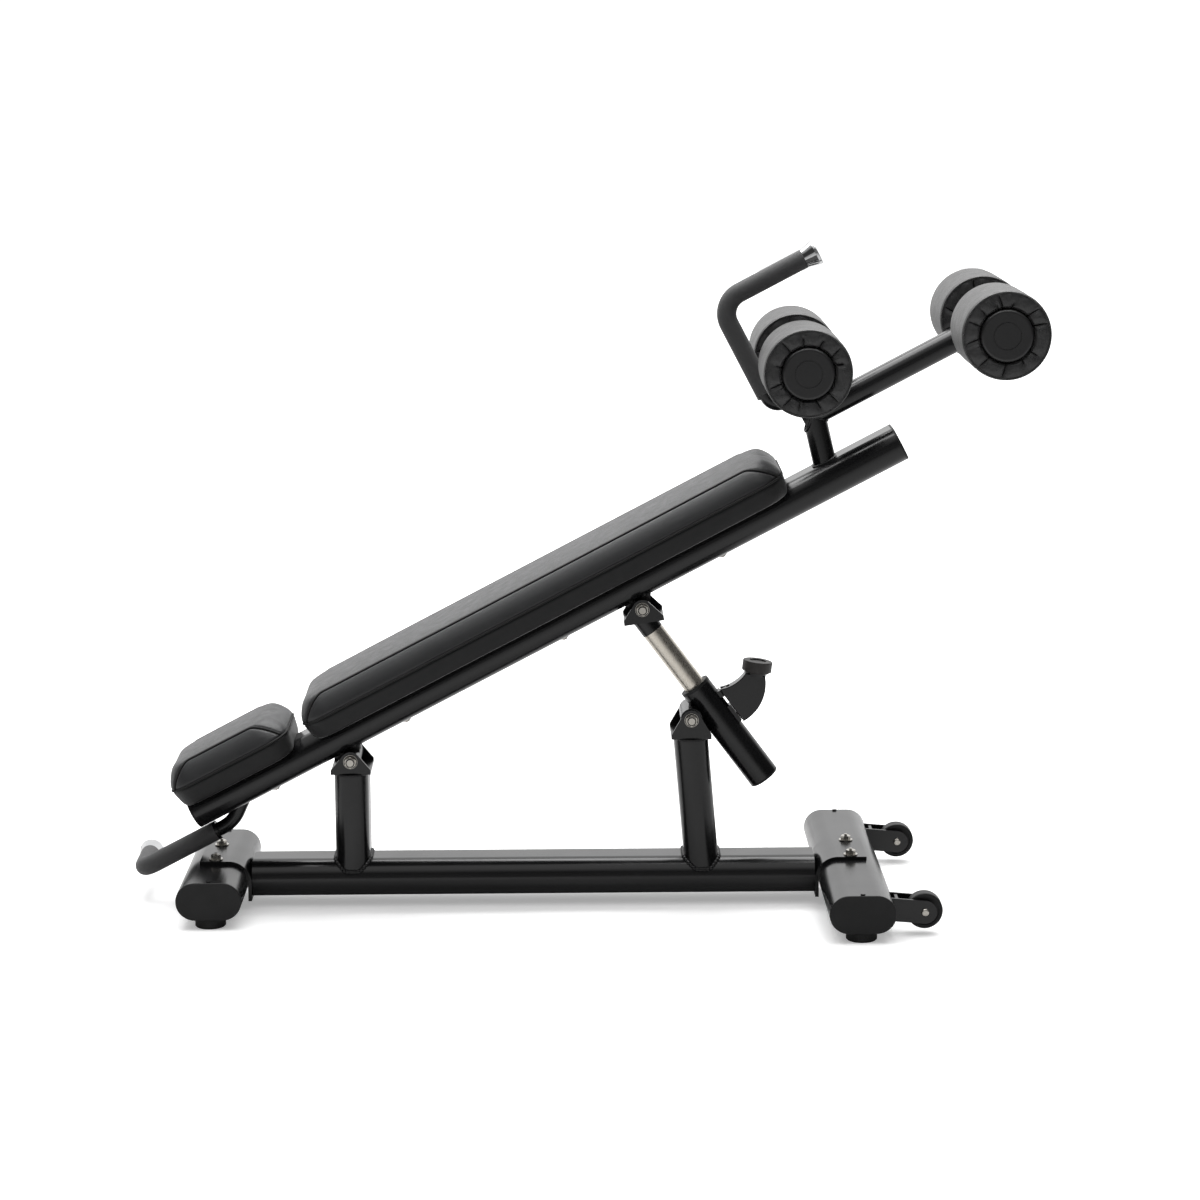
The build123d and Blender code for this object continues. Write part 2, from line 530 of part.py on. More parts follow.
def roller_hub(along, up, near, far, side):
    """Moulded core: a sleeve on the axle, a disc at each end, the outer one closed."""
    dish = 8.6
    sleeve = rod(HUB_R, (along, side * (near + 1), up), (along, side * (far + 1), up))
    inner = rod(HUB_WALL_R, (along, side * (near + 1), up), (along, side * (near + dish), up))
    outer = rod(HUB_WALL_R, (along, side * (far - dish), up), (along, side * (far + 2.5), up))
    outer = fillet(outer.edges().sort_by(Axis.Y)[-1 if side > 0 else 0], 5.0)
    button = pipe(23.4, 21.8, (along, side * (far + 2.5), up), (along, side * (far + 1.1), up))
    bore_end = far - 5
    bore = rod(AXLE_R + RUNNING, (along, side * (near - 5), up), (along, side * bore_end, up))
    return sleeve + inner + outer - button - bore


def build_rollers():
    pairs = (
        ("knee", KNEE_ALONG, KNEE_UP, KNEE_NEAR, KNEE_FAR),
        ("ankle", ANKLE_ALONG, ANKLE_UP, ANKLE_NEAR, ANKLE_FAR),
    )
    for name, along, up, near, far in pairs:
        reach = far - 7
        axle = pipe(AXLE_R, AXLE_R - AXLE_WALL, (along, -reach, up), (along, reach, up))
        for side in (-1, 1):
            start, end = (along, side * (near - 9), up), (along, side * (near - 4), up)
            axle += pipe(AXLE_R + 6, AXLE_R - 1, start, end)
        keep(name + "_axle", on_beam(axle))
        for label, side in (("near", -1), ("far", 1)):
            keep(f"{name}_roller_pad_{label}", on_beam(roller_pad(along, up, near, far, side)))
            keep(f"{name}_roller_hub_{label}", on_beam(roller_hub(along, up, near, far, side)))


# ---------------------------------------------------------------------- handles
def sweep_ring(path, radius, bore):
    start = path ^ 0
    plane = Plane(start.position, z_dir=path % 0)
    solid = sweep(plane * Circle(radius), path=path)
    return solid - sweep(plane * Circle(bore), path=path) if bore else solid


def end_ferrule(centre, axis):
    """Flared plated cap on the open end of a grip."""
    plane = Plane(centre, z_dir=axis)
    foot = plane * Circle(GRIP_R - 0.7)
    rim = plane.offset(21) * Circle(21.7)
    horn = loft([foot, rim]) + extrude(rim, 5)
    horn = fillet(horn.edges().filter_by(GeomType.CIRCLE).sort_by(lambda e: e.length)[-1], 1.5)
    return horn - extrude(plane * Circle(HANDLE_R + 0.1), 16)


def build_support_handle():
    """L-shaped bar beside the knees: up from the riser, then along the beam."""
    turn, bend, low = 21.5, 40.0, KNEE_UP - 52.7
    x, top = HANDLE_RISER, HANDLE_TOP
    k = 1 - cos(radians(45))
    path = (
        Line((KNEE_ALONG - LEG_THICK / 2 + 1, 0, low), (x + turn, 0, low))
        + ThreePointArc((x + turn, 0, low), (x + turn * k, 0, low + turn * k), (x, 0, low + turn))
        + Line((x, 0, low + turn), (x, 0, top - bend))
        + ThreePointArc((x, 0, top - bend), (x + bend * k, 0, top - bend * k), (x + bend, 0, top))
        + Line((x + bend, 0, top), (HANDLE_REACH, 0, top))
    )
    grip_low, grip_high = 229.0, 1101.0
    grip = (
        Line((x, 0, grip_low), (x, 0, top - bend))
        + ThreePointArc((x, 0, top - bend), (x + bend * k, 0, top - bend * k), (x + bend, 0, top))
        + Line((x + bend, 0, top), (grip_high, 0, top))
    )
    bar = sweep_ring(path, HANDLE_R, HANDLE_R - HANDLE_WALL)
    bar += pipe(17.0, HANDLE_R, (x, 0, grip_low - 6), (x, 0, grip_low))
    riser_at = Plane((KNEE_ALONG, 0, ANKLE_UP), x_dir=(0, 1, 0), z_dir=(0, 0, 1))
    bar -= oval_bar(riser_at, LEG_WIDE - 0.4, LEG_THICK, 140)
    keep("support_handle", on_beam(bar))
    keep("support_handle_grip", on_beam(sweep_ring(grip, GRIP_R, HANDLE_R)))
    return on_beam(end_ferrule((grip_high, 0, top), (1, 0, 0)))


def build_transport_handle():
    """Bar under the head end: back from the beam, then across as a carrying grip."""
    axis, corner = CARRY_AXIS, CARRY_CORNER
    bend, sweep_r, rise = 26.0, 60.0, radians(38)
    k = 1 - cos(radians(45))
    collar = -277.0
    start_bend = collar + 14
    bend_end = (start_bend + sweep_r * sin(rise), axis + sweep_r * (1 - cos(rise)))
    bend_mid = (start_bend + sweep_r * sin(rise / 2), axis + sweep_r * (1 - cos(rise / 2)))
    reach = 24.0
    root = (bend_end[0] + reach * cos(rise), bend_end[1] + reach * sin(rise))
    path = (
        Line((root[0], 0, root[1]), (bend_end[0], 0, bend_end[1]))
        + ThreePointArc((bend_end[0], 0, bend_end[1]), (bend_mid[0], 0, bend_mid[1]), (start_bend, 0, axis))
        + Line((start_bend, 0, axis), (corner + bend, 0, axis))
        + ThreePointArc((corner + bend, 0, axis), (corner + bend * k, bend * k, axis), (corner, bend, axis))
        + Line((corner, bend, axis), (corner, CARRY_REACH - 4, axis))
    )
    grip_end = CARRY_REACH - 20
    grip = (
        Line((collar, 0, axis), (corner + bend, 0, axis))
        + ThreePointArc((corner + bend, 0, axis), (corner + bend * k, bend * k, axis), (corner, bend, axis))
        + Line((corner, bend, axis), (corner, grip_end, axis))
    )
    bar = sweep_ring(path, HANDLE_R, HANDLE_R - HANDLE_WALL)
    bar += pipe(17.0, HANDLE_R, (collar, 0, axis), (collar + 6, 0, axis))
    beam_middle = BEAM_UNDER + TUBE_THICK / 2
    plane = Plane((BEAM_LOW, 0, beam_middle), x_dir=(0, 1, 0), z_dir=(1, 0, 0))
    bar -= oval_bar(plane, TUBE_WIDE, TUBE_THICK, 400)
    keep("transport_handle", *[s for s in on_beam(bar).solids() if s.volume > 3000])
    keep("transport_handle_grip", on_beam(sweep_ring(grip, GRIP_R, HANDLE_R)))
    return on_beam(end_ferrule((corner, grip_end, axis), (0, 1, 0)))


# -------------------------------------------------------------------- the strut
STRUT = Plane(
    (STRUT_PIN_X + STRUT_OFFSET * STRUT_SIDE[0], 0, STRUT_PIN_Z + STRUT_OFFSET * STRUT_SIDE[2]),
    x_dir=STRUT_SIDE,
    z_dir=STRUT_UP,
)
STRUT_AT = STRUT.location


def in_strut(solid):
    """Moves a solid from strut coordinates (sideways, across, up the axis)."""
    return STRUT_AT * solid


def build_strut_outer():
    bore = STRUT_OUT_R - STRUT_OUT_WALL
    tube = rod(STRUT_OUT_R, (0, 0, STRUT_OUT_LOW), (0, 0, STRUT_OUT_TOP))
    boss = rod(19, (-STRUT_OFFSET, -BOSS_HALF, 0), (-STRUT_OFFSET, BOSS_HALF, 0))
    rib = slab([(-20, -48), (-20, 14), (-36, 12), (-36, -12)], 5)
    lug = slab([(16, 5), (34, 4), (43, 2), (43, -7), (34, -9), (16, -9)], LUG_HALF)
    seat_high = slab([(16, 10), (30.6, 5), (30.6, -6), (16, -6)], LEVER_HALF - 1)
    seat_low = slab([(16, -26), (30.6, -26), (30.6, -60), (16, -65)], LEVER_HALF - 1)
    shell = tube + boss + rib + lug + seat_high + seat_low
    shell -= rod(bore, (0, 0, STRUT_OUT_LOW - 5), (0, 0, STRUT_OUT_TOP + 5))
    shell -= rod(BUSH_R, (-STRUT_OFFSET, -60, 0), (-STRUT_OFFSET, 60, 0))
    shell -= rod(LOCK_R + RUNNING, (0, 0, LOCK_Z), (60, 0, LOCK_Z))
    px, pz = LEVER_PIN
    shell -= rod(3, (px, -40, pz), (px, 40, pz))
    keep("strut_outer_tube", in_strut(shell))

    bushes = []
    for side in (-1, 1):
        y0, y1 = side * 20, side * BOSS_HALF
        sleeve = pipe(BUSH_R, BOLT_R + RUNNING, (-STRUT_OFFSET, y0, 0), (-STRUT_OFFSET, y1, 0))
        flange = pipe(BOSS_R, BOLT_R + RUNNING, (-STRUT_OFFSET, y1, 0), (-STRUT_OFFSET, y1 + side * 0.8, 0))
        bushes.append(in_strut(sleeve + flange))
    keep("strut_bushes", *bushes)

    lip = STRUT_OUT_TOP + 6
    guide_bush = pipe(STRUT_OUT_R, STRUT_IN_R + RUNNING, (0, 0, STRUT_OUT_TOP), (0, 0, lip))
    guide_bush += pipe(bore, STRUT_IN_R + RUNNING, (0, 0, STRUT_OUT_TOP - 28), (0, 0, STRUT_OUT_TOP))
    keep("strut_guide_bush", in_strut(guide_bush))

    plug = rod(STRUT_OUT_R, (0, 0, STRUT_OUT_LOW - 4.5), (0, 0, STRUT_OUT_LOW))
    plug = chamfer(plug.edges().filter_by(GeomType.CIRCLE).sort_by(Axis.Z)[0], 2.2)
    plug += pipe(bore, bore - 3, (0, 0, STRUT_OUT_LOW), (0, 0, STRUT_OUT_LOW + 4.5))
    keep("strut_bottom_plug", in_strut(plug))

    pin = rod(3, (px, 0.5 - LEVER_HALF, pz), (px, LEVER_HALF - 0.5, pz))
    keep("lever_pin", in_strut(pin))


def build_strut_inner():
    spigot_r = STRUT_IN_R - STRUT_IN_WALL
    tube = pipe(STRUT_IN_R, spigot_r, (0, 0, STRUT_IN_LOW), (0, 0, STRUT_IN_TOP))
    keep("strut_inner_tube", in_strut(tube))

    clevis_at = Location(
        (
            PIVOT_X + STRUT_REACH * cos(radians(BEAM_SLOPE)),
            0,
            PIVOT_Z + STRUT_REACH * sin(radians(BEAM_SLOPE)),
        ),
        (0, -UPPER_CLEVIS_TILT, 0),
    )
    collar = in_strut(rod(COLLAR_R, (0, 0, STRUT_IN_TOP), (0, 0, 240)))
    above = clevis_at * (Location((0, 0, 200 - UPPER_PIN_DROP + 1)) * Box(400, 400, 400))
    collar -= above
    collar += in_strut(rod(spigot_r, (0, 0, STRUT_IN_TOP - COLLAR_SPIGOT), (0, 0, STRUT_IN_TOP)))
    keep("upper_clevis", collar + clevis_at * clevis(UPPER_PIN_DROP))
    keep("upper_clevis_bolt", clevis_at * pivot_bolt())
    rings = pivot_washers()
    keep("upper_clevis_nut", clevis_at * pivot_nut())
    keep("upper_clevis_washers", clevis_at * rings[0], clevis_at * rings[1])


def build_lever():
    """Crescent lever: lift the knob and its foot draws the plunger off the inner tube."""
    outline = make_face(
        ThreePointArc((33.0, 6.5), (58.0, -0.5), (85.0, 3.0))
        + Line((85.0, 3.0), (109.5, -22.0))
        + ThreePointArc((109.5, -22.0), (79.0, -54.5), (31.8, -64.0))
        + Line((31.8, -64.0), (31.8, -2.0))
        + Line((31.8, -2.0), (33.0, 6.5))
    )
    plane = Plane((0, 0, 0), x_dir=(1, 0, 0), z_dir=(0, -1, 0))
    horn = extrude(plane * outline, LEVER_HALF, both=True)
    horn = chamfer(horn.edges().group_by(Axis.Y)[0] + horn.edges().group_by(Axis.Y)[-1], 1.2)
    horn -= slab([(20, 20), (49, 20), (49, -14), (20, -14)], LUG_HALF + 0.6)
    neck_axis = Vector(sin(radians(KNOB_TILT)), 0, cos(radians(KNOB_TILT)))
    root = Vector(96.2, 0, -13.6)
    horn += rod(NECK_R, tuple(root), tuple(root + neck_axis * NECK_HIGH))
    horn -= rod(LOCK_R + 2.4, (20, 0, LOCK_Z), (46, 0, LOCK_Z))
    horn -= Location((50, 0, LOCK_Z)) * Box(11, 20, 25)
    px, pz = LEVER_PIN
    horn -= rod(3 + RUNNING, (px, -40, pz), (px, 40, pz))
    keep("release_lever", in_strut(horn))

    base = root + neck_axis * NECK_HIGH
    top = base + neck_axis * KNOB_HIGH
    knob = rod(KNOB_R, tuple(base), tuple(top))
    knob = fillet(knob.edges().filter_by(GeomType.CIRCLE), 1.8)
    knob -= rod(14.5, tuple(top - neck_axis * 2.2), tuple(top + neck_axis * 5))
    knob += pipe(21.0, NECK_R, tuple(base - neck_axis * 2.5), tuple(base))
    keep("lever_knob", in_strut(knob))

    plunger = rod(LOCK_R, (STRUT_IN_R - 9, 0, LOCK_Z), (53, 0, LOCK_Z))
    plunger += rod(8.2, (47.5, 0, LOCK_Z), (51.5, 0, LOCK_Z))
    plunger -= rod(STRUT_IN_R + RUNNING, (0, 0, LOCK_Z - 20), (0, 0, LOCK_Z + 20))
    keep("lock_plunger", in_strut(plunger))


def main():
    build_base()
    build_base_pivots()
    build_wheels()
    build_beam()
    build_pads()
    build_leg_frame()
    build_rollers()
    ferrules = [build_support_handle(), build_transport_handle()]
    keep("handle_end_caps", *ferrules)
    build_strut_outer()
    build_strut_inner()
    build_lever()
    os.makedirs("parts", exist_ok=True)
    for name, shape in PARTS.items():
        export_step(shape, f"parts/{name}.step")


main()
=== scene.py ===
"""Looks of the decline sit-up bench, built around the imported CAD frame. Metres, +Z up."""

import json
import math
import random

import bmesh
import bpy
from mathutils import Matrix, Vector
from mathutils.bvhtree import BVHTree
from mathutils.kdtree import KDTree


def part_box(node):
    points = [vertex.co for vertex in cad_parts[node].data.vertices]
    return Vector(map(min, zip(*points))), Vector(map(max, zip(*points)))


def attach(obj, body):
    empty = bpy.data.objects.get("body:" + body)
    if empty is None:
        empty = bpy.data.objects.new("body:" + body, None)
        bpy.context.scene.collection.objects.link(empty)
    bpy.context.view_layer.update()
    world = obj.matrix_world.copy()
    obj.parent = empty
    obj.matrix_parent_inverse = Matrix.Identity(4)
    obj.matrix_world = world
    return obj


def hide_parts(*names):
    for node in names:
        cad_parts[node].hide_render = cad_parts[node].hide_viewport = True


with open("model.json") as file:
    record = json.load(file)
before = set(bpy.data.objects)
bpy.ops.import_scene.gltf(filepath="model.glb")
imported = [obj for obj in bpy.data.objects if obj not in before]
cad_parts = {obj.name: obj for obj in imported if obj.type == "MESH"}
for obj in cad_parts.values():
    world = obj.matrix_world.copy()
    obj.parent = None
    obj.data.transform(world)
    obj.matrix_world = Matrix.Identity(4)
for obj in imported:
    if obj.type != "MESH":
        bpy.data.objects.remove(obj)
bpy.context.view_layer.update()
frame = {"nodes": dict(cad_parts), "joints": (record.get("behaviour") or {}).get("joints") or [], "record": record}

MM = 0.001
NODES = frame["nodes"]
JOINTS = {joint["name"]: joint for joint in frame["joints"]}

# ------------------------------------------------------------------ driving sizes
BEAM_SLOPE = math.radians(27.57)      # rise of the main beam
PIVOT = Vector(JOINTS["bench_tilt"]["pos_m"])
STRUT_PIN = Vector(JOINTS["strut_swing"]["pos_m"])
ALONG = Vector((math.cos(BEAM_SLOPE), 0, math.sin(BEAM_SLOPE)))
UP = Vector((-math.sin(BEAM_SLOPE), 0, math.cos(BEAM_SLOPE)))

TUBE_R = 30 * MM                      # round sides of the flat-oval tubes
TUBE_FLAT = 25 * MM                   # half the flat stretch between them
BASE_AXIS_Z = 50 * MM
BASE_R, BASE_FLAT = 33 * MM, 23.5 * MM
POST_SHOE = 65 * MM                   # height at which the posts' feet end
STRUT_POST_LEAN = math.radians(4.87)
UPRIGHT_LEAN = math.radians(13.0)     # from the vertical
BEAM_AXIS_H = 45.5 * MM               # beam centre line above the tilt axis
LEG_R, LEG_FLAT = 20 * MM, 6.8 * MM   # upright, riser and leg tube

PAD_TOP, PAD_SEAM, PAD_FOOT = 142 * MM, 103 * MM, 66 * MM
BOARD_TOP = 87.5 * MM
BACK_PLAN = dict(low=-0.036, high=0.900, half=(0.122, 0.127, 0.124), corner=0.046)
HEAD_PLAN = dict(low=-0.297, high=-0.066, half=(0.102, 0.105, 0.107), corner=0.042)

ROLLER_R = 75 * MM
FACE_R = ROLLER_R - 4.0 * MM          # outer edge of a gathered end face
HUB_HOLE_R, SLEEVE_R, RECESS = 44.9 * MM, 17.0 * MM, 10.5 * MM


# --------------------------------------------------------------------- materials
class Nodes:
    """A material's node tree, with short calls for the nodes used here."""

    def __init__(self, name):
        self.material = bpy.data.materials.new(name)
        self.material.use_nodes = True
        self.tree = self.material.node_tree
        self.shader = self.tree.nodes["Principled BSDF"]
        self.place = self.tree.nodes.new("ShaderNodeTexCoord").outputs["Object"]

    def stretched(self, scale, turn=(0, 0, 0)):
        node = self.tree.nodes.new("ShaderNodeMapping")
        node.inputs["Scale"].default_value = scale
        node.inputs["Rotation"].default_value = turn
        self.tree.links.new(self.place, node.inputs["Vector"])
        return node.outputs["Vector"]

    def noise(self, scale, detail=3.0, rough=0.55, place=None):
        node = self.tree.nodes.new("ShaderNodeTexNoise")
        node.inputs["Scale"].default_value = scale
        node.inputs["Detail"].default_value = detail
        node.inputs["Roughness"].default_value = rough
        self.tree.links.new(place or self.place, node.inputs["Vector"])
        return node.outputs["Fac"]

    def cells(self, scale, feature="F1", place=None):
        node = self.tree.nodes.new("ShaderNodeTexVoronoi")
        node.feature = feature
        node.inputs["Scale"].default_value = scale
        self.tree.links.new(place or self.place, node.inputs["Vector"])
        return node.outputs["Distance"]

    def remap(self, value, low, high, start=0.0, end=1.0):
        node = self.tree.nodes.new("ShaderNodeMapRange")
        node.inputs["From Min"].default_value = low
        node.inputs["From Max"].default_value = high
        node.inputs["To Min"].default_value = start
        node.inputs["To Max"].default_value = end
        self.tree.links.new(value, node.inputs["Value"])
        return node.outputs["Result"]

    def maths(self, kind, a, b):
        node = self.tree.nodes.new("ShaderNodeMath")
        node.operation = kind
        for socket, value in zip(node.inputs, (a, b)):
            if isinstance(value, (int, float)):
                socket.default_value = value
            else:
                self.tree.links.new(value, socket)
        return node.outputs["Value"]

    def tint(self, value, dark, light):
        node = self.tree.nodes.new("ShaderNodeValToRGB")
        node.color_ramp.elements[0].color = (*dark, 1)
        node.color_ramp.elements[1].color = (*light, 1)
        self.tree.links.new(value, node.inputs["Fac"])
        self.tree.links.new(node.outputs["Color"], self.shader.inputs["Base Color"])

    def vary_roughness(self, value, low, high):
        self.tree.links.new(self.remap(value, 0.3, 0.7, low, high), self.shader.inputs["Roughness"])

    def bump(self, height, distance, strength=1.0):
        node = self.tree.nodes.new("ShaderNodeBump")
        node.inputs["Strength"].default_value = strength
        node.inputs["Distance"].default_value = distance
        self.tree.links.new(height, node.inputs["Height"])
        self.tree.links.new(node.outputs["Normal"], self.shader.inputs["Normal"])

    def set(self, **values):
        for name, value in values.items():
            self.shader.inputs[name.replace("_", " ")].default_value = value


def powder_coat():
    """Semi-gloss black enamel with a faint orange peel."""
    m = Nodes("frame_paint")
    cloud = m.noise(9, 2)
    m.tint(cloud, (0.0042, 0.0043, 0.0047), (0.0066, 0.0067, 0.0072))
    m.vary_roughness(cloud, 0.17, 0.25)
    m.bump(m.noise(260, 2, 0.5), 0.12 * MM, 0.3)
    m.set(IOR=1.45)
    return m.material


def leather(name, dark, light, rough=(0.40, 0.52), relief=0.5, wrinkle=0.0, shine=0.5):
    """Upholstery vinyl: pebbled grain, fine creases, uneven sheen."""
    m = Nodes(name)
    pebbles = m.cells(720)
    creases = m.cells(310, "DISTANCE_TO_EDGE")
    cloud = m.noise(14, 3)
    m.tint(cloud, dark, light)
    m.vary_roughness(m.noise(55, 3), *rough)
    grain = m.maths("MULTIPLY", m.remap(pebbles, 0.0, 0.7, 1.0, 0.0), 0.55)
    lines = m.remap(creases, 0.0, 0.08, 0.0, 0.45)
    skin = m.maths("ADD", grain, lines)
    if wrinkle:
        skin = m.maths("ADD", skin, m.maths("MULTIPLY", m.noise(85, 3), wrinkle))
    m.bump(skin, 0.35 * MM, relief)
    m.set(Sheen_Weight=0.12, Sheen_Roughness=0.45, Specular_IOR_Level=shine)
    return m.material


def rubber(name, shade, rough=(0.68, 0.82)):
    m = Nodes(name)
    grit = m.noise(900, 3)
    m.tint(m.noise(25, 3), tuple(0.85 * c for c in shade), tuple(1.2 * c for c in shade))
    m.vary_roughness(grit, *rough)
    m.bump(grit, 0.2 * MM, 0.5)
    return m.material


def plastic(name, shade, rough=(0.36, 0.46), shine=0.5):
    """Moulded plastic with a fine spark-eroded texture."""
    m = Nodes(name)
    grit = m.noise(1400, 2)
    m.tint(m.noise(18, 2), tuple(0.85 * c for c in shade), tuple(1.2 * c for c in shade))
    m.vary_roughness(m.noise(40, 3), *rough)
    m.bump(grit, 0.08 * MM, 0.5)
    m.set(Specular_IOR_Level=shine)
    return m.material


def foam():
    """Closed-cell foam grip: matt, with tiny pores."""
    m = Nodes("foam_grip")
    pores = m.cells(1100)
    m.tint(m.noise(30, 3), (0.040, 0.040, 0.041), (0.054, 0.054, 0.055))
    m.vary_roughness(pores, 0.62, 0.78)
    m.bump(m.maths("ADD", pores, m.noise(420, 4)), 0.35 * MM, 0.6)
    m.set(Sheen_Weight=0.15)
    return m.material


def metal(name, dark, light, rough, brush=None, relief=0.03):
    """Plated or bare metal. brush is a stretched place for drawn streaks."""
    m = Nodes(name)
    m.set(Metallic=1.0)
    place = m.stretched(*brush) if brush else None
    streaks = m.noise(60, 4, 0.6, place)
    m.tint(streaks, dark, light)
    m.vary_roughness(streaks, *rough)
    m.bump(m.noise(500, 3, 0.6, place), relief * MM, 0.4)
    return m.material


def board():
    """Black-stained plywood under the pads."""
    m = Nodes("board")
    grain = m.noise(24, 4, 0.6, m.stretched((1, 14, 14), (0, BEAM_SLOPE, 0)))
    m.tint(grain, (0.016, 0.014, 0.012), (0.045, 0.038, 0.030))
    m.vary_roughness(grain, 0.55, 0.75)
    m.bump(grain, 0.25 * MM, 0.5)
    return m.material


STRUT_STREAKS = ((14, 14, 1), (0, math.radians(-36.6), 0))
MATERIALS = {
    "frame_paint": powder_coat(),
    "leather_black": leather("leather_black", (0.0125, 0.0128, 0.0138), (0.0175, 0.0180, 0.0194)),
    "roller_side": leather("roller_side", (0.022, 0.0215, 0.0215), (0.032, 0.031, 0.031), (0.44, 0.56), 0.4),
    # The band below the lower seam is the same vinyl as the cover; its darker colour and lower shine are painted
    # shade on the downward-facing band.
    "leather_band_painted_shade": leather("leather_band_painted_shade", (0.0062, 0.0063, 0.0066), (0.0090, 0.0092, 0.0096), shine=0.26),
    "roller_face": leather(
        "roller_face", (0.020, 0.020, 0.0205), (0.033, 0.033, 0.0335), (0.24, 0.36), 0.8, 4.0
    ),
    # Near-black copy of the end-face leather, laid into deep gathers as painted shade in the creases.
    "roller_fold": leather("roller_fold", (0.0020, 0.0020, 0.0021), (0.0032, 0.0032, 0.0034), shine=0.15),
    "hub": plastic("hub", (0.013, 0.013, 0.0135), (0.30, 0.40)),
    # Piping along the pad seams: part of the cover, but coloured near-black, far darker than the vinyl, as painted
    # shade of the valley each seam draws in.
    "seam": rubber("seam_thread", (0.0015, 0.0015, 0.0015)),
    "board": board(),
    "rubber_black": rubber("rubber_black", (0.006, 0.006, 0.006)),
    "plastic_black": plastic("plastic_black", (0.0052, 0.0052, 0.0056), (0.42, 0.52), 0.32),
    "knob": plastic("knob", (0.018, 0.0155, 0.014), (0.46, 0.58)),
    "foam_grip": foam(),
    "chrome": metal("chrome", (0.52, 0.53, 0.54), (0.66, 0.66, 0.66), (0.04, 0.09)),
    "strut_chrome": metal(
        "strut_chrome", (0.40, 0.35, 0.28), (0.82, 0.79, 0.73), (0.24, 0.36), STRUT_STREAKS
    ),
    "zinc": metal("zinc", (0.34, 0.32, 0.29), (0.52, 0.50, 0.46), (0.16, 0.28)),
}
OWN_MATERIAL = {"lever_knob": "knob"}
OWN_MATERIAL.update({name: "hub" for name in NODES if "_roller_hub_" in name})


def dress_cad_nodes():
    slots = {part["node"]: part["material_slot"] for part in frame["record"]["subparts"]}
    for name, node in NODES.items():
        node.data.materials.clear()
        node.data.materials.append(MATERIALS[OWN_MATERIAL.get(name, slots[name])])


# ------------------------------------------------------------------ mesh helpers
def add_piece(name, verts, faces, material, body):
    """A smooth mesh piece that rides on a body."""
    mesh = bpy.data.meshes.new(name)
    mesh.from_pydata([tuple(v) for v in verts], [], faces)
    mesh.validate()
    mesh.materials.append(MATERIALS[material])
    for face in mesh.polygons:
        face.use_smooth = True
    piece = bpy.data.objects.new(name, mesh)
    bpy.context.scene.collection.objects.link(piece)
    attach(piece, body)
    return piece


def point_out(mesh):
    """Makes the faces of a closed mesh look outwards."""
    work = bmesh.new()
    work.from_mesh(mesh)
    bmesh.ops.recalc_face_normals(work, faces=work.faces)
    work.to_mesh(mesh)
    work.free()


def beam_point(along, across, up):
    return PIVOT + ALONG * along + Vector((0, across, 0)) + UP * up


def rings_to_faces(rings, count, closed_ends=False):
    """Quads between rings of count points each, wrapping round the ring."""
    faces = []
    for r in range(rings - 1):
        for i in range(count):
            j = (i + 1) % count
            faces.append((r * count + i, r * count + j, (r + 1) * count + j, (r + 1) * count + i))
    if closed_ends:
        faces.append(tuple(reversed(range(count))))
        faces.append(tuple(range((rings - 1) * count, rings * count)))
    return faces


def bead(name, path, radius, material, body, slot, ripple=0.0, pitch=0.004, sides=10, closed=True):
    """Tube along a line of points, its radius rippled like a run of weld pools."""
    count = len(path)
    rng = random.Random(name)
    lengths = [0.0]
    for a, b in zip(path, path[1:]):
        lengths.append(lengths[-1] + (b - a).length)
    verts, faces = [], []
    for i, centre in enumerate(path):
        after, before = path[(i + 1) % count], path[i - 1]
        if not closed:
            after, before = path[min(i + 1, count - 1)], path[max(i - 1, 0)]
        ahead = (after - before).normalized()
        across = ahead.orthogonal().normalized()
        if abs(ahead.z) < 0.999:
            across = ahead.cross(Vector((0, 0, 1))).normalized()
        other = ahead.cross(across)
        wave = abs(math.sin(math.pi * lengths[i] / pitch))
        size = radius * (1 - ripple + ripple * wave + 0.08 * ripple * rng.uniform(-1, 1))
        for k in range(sides):
            turn = 2 * math.pi * k / sides
            verts.append(centre + (across * math.cos(turn) + other * math.sin(turn)) * size)
    for i in range(count if closed else count - 1):
        for k in range(sides):
            n, m = (i + 1) % count, (k + 1) % sides
            faces.append((i * sides + k, n * sides + k, n * sides + m, i * sides + m))
    if not closed:
        faces.append(tuple(range(sides)))
        faces.append(tuple(range((count - 1) * sides, count * sides)))
    piece = add_piece(name, verts, faces, material, body)
    point_out(piece.data)
    return piece


# ----------------------------------------------------------------------- welds
def oval_loop(flat, radius, step=0.0009):
    """Points (lengthwise x, sideways y) round a flat oval whose long way is y."""
    around = 4 * flat + 2 * math.pi * radius
    count = int(around / step)
    loop = []
    for i in range(count):
        d = around * i / count
        if d < 2 * flat:
            loop.append((radius, d - flat))
            continue
        d -= 2 * flat
        if d < math.pi * radius:
            turn = d / radius
            loop.append((radius * math.cos(turn), flat + radius * math.sin(turn)))
            continue
        d -= math.pi * radius
        if d < 2 * flat:
            loop.append((-radius, flat - d))
            continue
        turn = math.pi + (d - 2 * flat) / radius
        loop.append((radius * math.cos(turn), -flat + radius * math.sin(turn)))
    return loop


def oval_top(y, axis, flat=TUBE_FLAT, radius=TUBE_R):
    """Height of the upper skin of a flat-oval tube at sideways distance y."""
    out = max(0.0, abs(y) - flat)
    return axis + math.sqrt(max(0.0, radius * radius - out * out))


